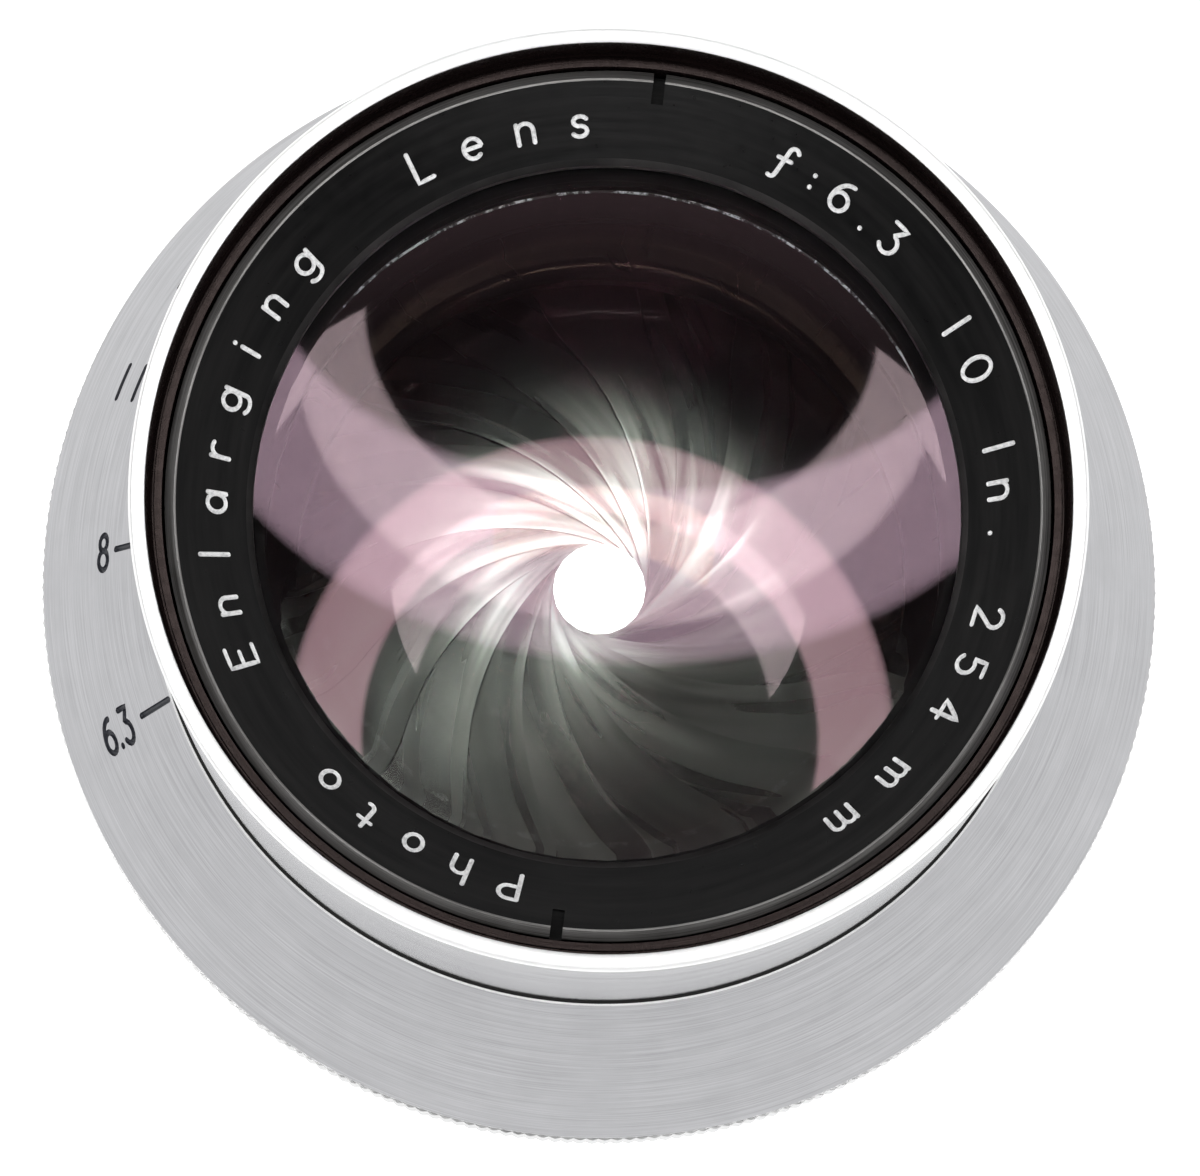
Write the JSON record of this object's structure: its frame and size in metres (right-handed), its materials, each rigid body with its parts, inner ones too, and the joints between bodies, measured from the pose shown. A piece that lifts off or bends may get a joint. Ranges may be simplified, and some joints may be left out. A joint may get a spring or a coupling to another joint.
{
  "type": "barrel lens",
  "caption": "Barrel lens for an enlarger, standing on its rear end: four glasses, a many-leaf iris worked by a flared knurled ring with a stop scale.",
  "frame": {"origin": "on the optical axis, in the plane of the barrel's rear edge", "axes": "+Z along the optical axis towards the front rim; +X and +Y across it, with the lettering upright when +Y is up"},
  "size_m": [0.0698, 0.0698, 0.0537],
  "materials": {
    "polished_aluminium": "polished, fine turned",
    "brushed_aluminium": "turned, satin, brushed round the axis",
    "black_enamel": "black lacquer over turned grooves, satin",
    "black_anodised": "matt black",
    "coated_glass": "polished, single-layer magenta coating",
    "iris_steel": "thin blued spring steel, satin",
    "screw_steel": "satin",
    "brass": "turned"
  },
  "bodies": {
    "barrel": {"cell_spacer": "black_anodised", "front_cell": "black_anodised", "front_element": "coated_glass", "iris_base_ring": "black_anodised", "iris_retaining_ring": "screw_steel", "jam_ring": "polished_aluminium", "lock_ring_screw_1": "screw_steel", "lock_ring_screw_2": "screw_steel", "lock_ring_screw_3": "screw_steel", "main_barrel": "polished_aluminium", "name_ring": "black_enamel", "rear_cell": "black_anodised", "rear_crown_element": "coated_glass", "rear_flint_element": "coated_glass", "rear_retaining_ring": "black_anodised", "ring_lock_ring": "brass", "second_element": "coated_glass"},
    "ring": {"aperture_ring": "brushed_aluminium", "iris_drive_ring": "black_anodised", "drive_pin": "screw_steel"},
    "leaf_01": {"iris_leaf_01": "iris_steel"},
    "leaf_02": {"iris_leaf_02": "iris_steel"},
    "leaf_03": {"iris_leaf_03": "iris_steel"},
    "leaf_04": {"iris_leaf_04": "iris_steel"},
    "leaf_05": {"iris_leaf_05": "iris_steel"},
    "leaf_06": {"iris_leaf_06": "iris_steel"},
    "leaf_07": {"iris_leaf_07": "iris_steel"},
    "leaf_08": {"iris_leaf_08": "iris_steel"},
    "leaf_09": {"iris_leaf_09": "iris_steel"},
    "leaf_10": {"iris_leaf_10": "iris_steel"},
    "leaf_11": {"iris_leaf_11": "iris_steel"},
    "leaf_12": {"iris_leaf_12": "iris_steel"},
    "leaf_13": {"iris_leaf_13": "iris_steel"},
    "leaf_14": {"iris_leaf_14": "iris_steel"},
    "leaf_15": {"iris_leaf_15": "iris_steel"},
    "leaf_16": {"iris_leaf_16": "iris_steel"},
    "leaf_17": {"iris_leaf_17": "iris_steel"},
    "leaf_18": {"iris_leaf_18": "iris_steel"}
  },
  "joints": [
    {"name": "aperture_turn", "type": "hinge", "parent": "barrel", "child": "ring", "pos_m": [0, 0, 0.03], "axis": [0, 0, 1], "range_deg": [-78, 0]},
    {"name": "leaf_turn_01", "type": "hinge", "parent": "barrel", "child": "leaf_01", "pos_m": [0.0213, 0, 0.0207], "axis": [0, 0, 1], "range_deg": [-42.6, 0]},
    {"name": "leaf_turn_02", "type": "hinge", "parent": "barrel", "child": "leaf_02", "pos_m": [0.02002, 0.00728, 0.0207], "axis": [0, 0, 1], "range_deg": [-42.6, 0]},
    {"name": "leaf_turn_03", "type": "hinge", "parent": "barrel", "child": "leaf_03", "pos_m": [0.01632, 0.01369, 0.0207], "axis": [0, 0, 1], "range_deg": [-42.6, 0]},
    {"name": "leaf_turn_04", "type": "hinge", "parent": "barrel", "child": "leaf_04", "pos_m": [0.01065, 0.01845, 0.0207], "axis": [0, 0, 1], "range_deg": [-42.6, 0]},
    {"name": "leaf_turn_05", "type": "hinge", "parent": "barrel", "child": "leaf_05", "pos_m": [0.0037, 0.02098, 0.0207], "axis": [0, 0, 1], "range_deg": [-42.6, 0]},
    {"name": "leaf_turn_06", "type": "hinge", "parent": "barrel", "child": "leaf_06", "pos_m": [-0.0037, 0.02098, 0.0207], "axis": [0, 0, 1], "range_deg": [-42.6, 0]},
    {"name": "leaf_turn_07", "type": "hinge", "parent": "barrel", "child": "leaf_07", "pos_m": [-0.01065, 0.01845, 0.0207], "axis": [0, 0, 1], "range_deg": [-42.6, 0]},
    {"name": "leaf_turn_08", "type": "hinge", "parent": "barrel", "child": "leaf_08", "pos_m": [-0.01632, 0.01369, 0.0207], "axis": [0, 0, 1], "range_deg": [-42.6, 0]},
    {"name": "leaf_turn_09", "type": "hinge", "parent": "barrel", "child": "leaf_09", "pos_m": [-0.02002, 0.00728, 0.0207], "axis": [0, 0, 1], "range_deg": [-42.6, 0]},
    {"name": "leaf_turn_10", "type": "hinge", "parent": "barrel", "child": "leaf_10", "pos_m": [-0.0213, 0, 0.0207], "axis": [0, 0, 1], "range_deg": [-42.6, 0]},
    {"name": "leaf_turn_11", "type": "hinge", "parent": "barrel", "child": "leaf_11", "pos_m": [-0.02002, -0.00728, 0.0207], "axis": [0, 0, 1], "range_deg": [-42.6, 0]},
    {"name": "leaf_turn_12", "type": "hinge", "parent": "barrel", "child": "leaf_12", "pos_m": [-0.01632, -0.01369, 0.0207], "axis": [0, 0, 1], "range_deg": [-42.6, 0]},
    {"name": "leaf_turn_13", "type": "hinge", "parent": "barrel", "child": "leaf_13", "pos_m": [-0.01065, -0.01845, 0.0207], "axis": [0, 0, 1], "range_deg": [-42.6, 0]},
    {"name": "leaf_turn_14", "type": "hinge", "parent": "barrel", "child": "leaf_14", "pos_m": [-0.0037, -0.02098, 0.0207], "axis": [0, 0, 1], "range_deg": [-42.6, 0]},
    {"name": "leaf_turn_15", "type": "hinge", "parent": "barrel", "child": "leaf_15", "pos_m": [0.0037, -0.02098, 0.0207], "axis": [0, 0, 1], "range_deg": [-42.6, 0]},
    {"name": "leaf_turn_16", "type": "hinge", "parent": "barrel", "child": "leaf_16", "pos_m": [0.01065, -0.01845, 0.0207], "axis": [0, 0, 1], "range_deg": [-42.6, 0]},
    {"name": "leaf_turn_17", "type": "hinge", "parent": "barrel", "child": "leaf_17", "pos_m": [0.01632, -0.01369, 0.0207], "axis": [0, 0, 1], "range_deg": [-42.6, 0]},
    {"name": "leaf_turn_18", "type": "hinge", "parent": "barrel", "child": "leaf_18", "pos_m": [0.02002, -0.00728, 0.0207], "axis": [0, 0, 1], "range_deg": [-42.6, 0]}
  ],
  "couplings": [
    {"joint": "leaf_turn_01", "follows": "aperture_turn", "ratio": 0.53711},
    {"joint": "leaf_turn_02", "follows": "aperture_turn", "ratio": 0.53711},
    {"joint": "leaf_turn_03", "follows": "aperture_turn", "ratio": 0.53711},
    {"joint": "leaf_turn_04", "follows": "aperture_turn", "ratio": 0.53711},
    {"joint": "leaf_turn_05", "follows": "aperture_turn", "ratio": 0.53711},
    {"joint": "leaf_turn_06", "follows": "aperture_turn", "ratio": 0.53711},
    {"joint": "leaf_turn_07", "follows": "aperture_turn", "ratio": 0.53711},
    {"joint": "leaf_turn_08", "follows": "aperture_turn", "ratio": 0.53711},
    {"joint": "leaf_turn_09", "follows": "aperture_turn", "ratio": 0.53711},
    {"joint": "leaf_turn_10", "follows": "aperture_turn", "ratio": 0.53711},
    {"joint": "leaf_turn_11", "follows": "aperture_turn", "ratio": 0.53711},
    {"joint": "leaf_turn_12", "follows": "aperture_turn", "ratio": 0.53711},
    {"joint": "leaf_turn_13", "follows": "aperture_turn", "ratio": 0.53711},
    {"joint": "leaf_turn_14", "follows": "aperture_turn", "ratio": 0.53711},
    {"joint": "leaf_turn_15", "follows": "aperture_turn", "ratio": 0.53711},
    {"joint": "leaf_turn_16", "follows": "aperture_turn", "ratio": 0.53711},
    {"joint": "leaf_turn_17", "follows": "aperture_turn", "ratio": 0.53711},
    {"joint": "leaf_turn_18", "follows": "aperture_turn", "ratio": 0.53711}
  ]
}
